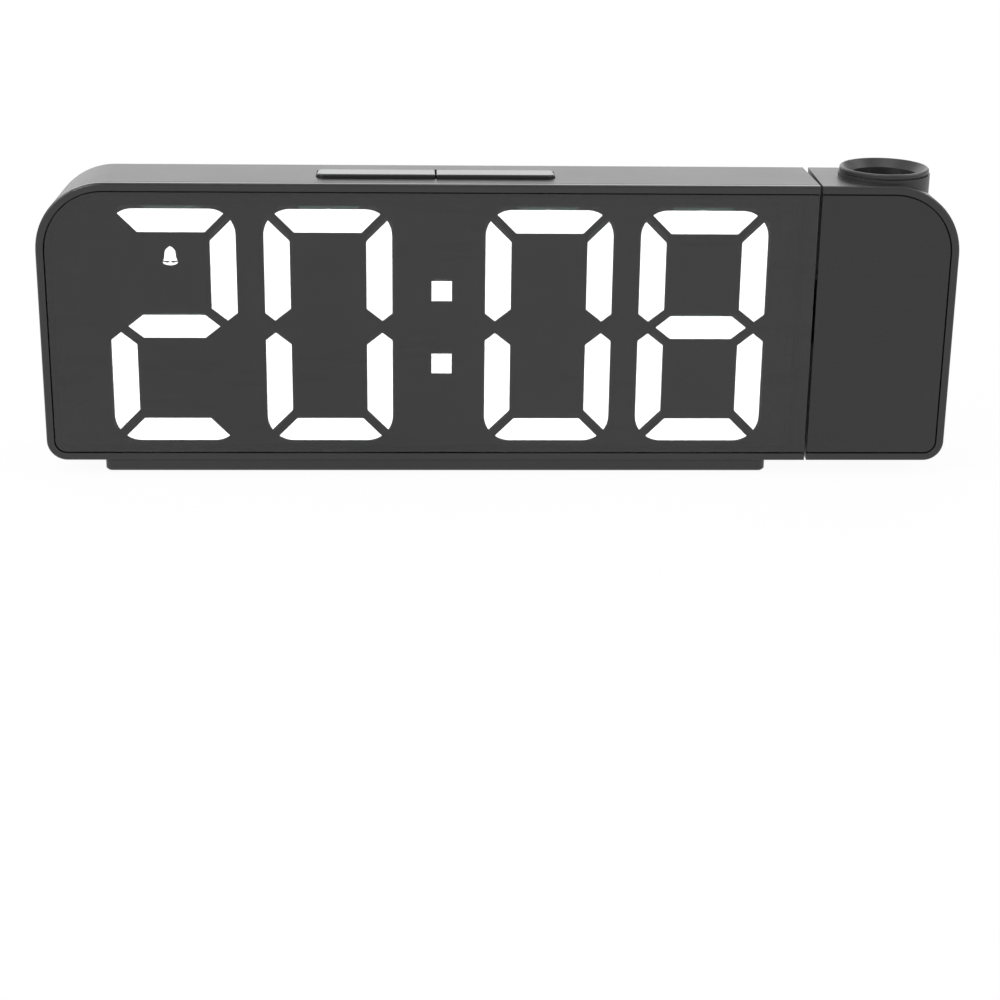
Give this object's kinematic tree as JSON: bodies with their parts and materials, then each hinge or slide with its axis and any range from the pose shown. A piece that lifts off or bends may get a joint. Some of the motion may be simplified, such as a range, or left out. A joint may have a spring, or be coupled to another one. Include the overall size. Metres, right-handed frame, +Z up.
{
  "type": "projection alarm clock",
  "caption": "Flat digital alarm clock on a foot, with a wide lit numeral display, top and rear keys, a battery door and a projector pod that turns on the right end.",
  "frame": {"origin": "middle of the footprint on the table, under the foot", "axes": "+Z up, +X to the right seen from the display side, -Y is the display side"},
  "size_m": [0.19, 0.0292, 0.064],
  "materials": {
    "shell_plastic": "fine satin texture",
    "smoked_lens": "smooth smoked sheet",
    "gloss_plate": "smooth",
    "light_box_plastic": "matte black",
    "lit_diffuser": "milky, lit white",
    "dark_diffuser": "milky, unlit behind the smoked lens",
    "led_package": "clear resin",
    "circuit_board": "green solder mask",
    "component_black": "moulded",
    "screw_steel": "plated",
    "cell_steel": "plated",
    "contact_brass": "plated",
    "foot_rubber": "soft matte",
    "cable_jacket": "smooth",
    "optic_glass": "polished"
  },
  "bodies": {
    "housing": {"front_frame": "shell_plastic", "display_lens": "smoked_lens", "display_reflector": "light_box_plastic", "segments_lit": "lit_diffuser", "segments_unlit": "dark_diffuser", "colon_dots": "lit_diffuser", "alarm_bell_light": "lit_diffuser", "led_chips": "led_package", "main_board": "circuit_board", "board_components": "component_black", "board_screws": "screw_steel", "key_switches": "component_black", "rear_switches": "component_black", "buzzer": "component_black", "power_jack": "component_black", "power_jack_pin": "contact_brass", "coin_cell": "cell_steel", "battery_contacts": "contact_brass", "temperature_sensor": "component_black", "rear_case": "shell_plastic", "base_foot": "shell_plastic", "base_screws": "screw_steel", "rubber_feet": "foot_rubber", "swivel_neck": "light_box_plastic", "swivel_nut": "light_box_plastic", "swivel_washer": "foot_rubber", "swivel_cable": "cable_jacket"},
    "snooze_light_key_body": {"snooze_light_key": "shell_plastic"},
    "projection_key_body": {"projection_key": "shell_plastic"},
    "set_button_body": {"set_button": "shell_plastic"},
    "alarm_button_body": {"alarm_button": "shell_plastic"},
    "snooze_button_body": {"snooze_button": "shell_plastic"},
    "up_button_body": {"up_button": "shell_plastic"},
    "down_button_body": {"down_button": "shell_plastic"},
    "battery_door_body": {"battery_door": "shell_plastic"},
    "projector": {"pod_front_shell": "shell_plastic", "pod_rear_shell": "shell_plastic", "pod_front_plate": "gloss_plate", "projection_lens": "optic_glass", "lens_retainer": "light_box_plastic", "lens_barrel": "light_box_plastic", "condenser_lens": "optic_glass", "lcd_chip": "component_black", "projector_board": "circuit_board", "projector_led": "led_package", "pod_screws": "screw_steel", "pod_cable": "cable_jacket"}
  },
  "joints": [
    {"name": "projector_swivel", "type": "hinge", "parent": "housing", "child": "projector", "pos_m": [0.0655, -0.00345, 0.03244], "axis": [1, 0, 0], "range_deg": [-90, 90]},
    {"name": "snooze_light_key_press", "type": "slide", "parent": "housing", "child": "snooze_light_key_body", "axis": [0, 0, -1], "range_m": [0, 0.0005], "stiffness_N_per_m": 900, "springref_m": -0.0008},
    {"name": "projection_key_press", "type": "slide", "parent": "housing", "child": "projection_key_body", "axis": [0, 0, -1], "range_m": [0, 0.0005], "stiffness_N_per_m": 900, "springref_m": -0.0008},
    {"name": "set_button_press", "type": "slide", "parent": "housing", "child": "set_button_body", "axis": [0, -1, 0], "range_m": [0, 0.0005], "stiffness_N_per_m": 900, "springref_m": -0.0008},
    {"name": "alarm_button_press", "type": "slide", "parent": "housing", "child": "alarm_button_body", "axis": [0, -1, 0], "range_m": [0, 0.0005], "stiffness_N_per_m": 900, "springref_m": -0.0008},
    {"name": "snooze_button_press", "type": "slide", "parent": "housing", "child": "snooze_button_body", "axis": [0, -1, 0], "range_m": [0, 0.0005], "stiffness_N_per_m": 900, "springref_m": -0.0008},
    {"name": "up_button_press", "type": "slide", "parent": "housing", "child": "up_button_body", "axis": [0, -1, 0], "range_m": [0, 0.0005], "stiffness_N_per_m": 900, "springref_m": -0.0008},
    {"name": "down_button_press", "type": "slide", "parent": "housing", "child": "down_button_body", "axis": [0, -1, 0], "range_m": [0, 0.0005], "stiffness_N_per_m": 900, "springref_m": -0.0008},
    {"name": "battery_door_hinge", "type": "hinge", "parent": "housing", "child": "battery_door_body", "pos_m": [-0.02668, 0.00698, 0.02339], "axis": [0, 0, 1], "range_deg": [0, 80]}
  ]
}
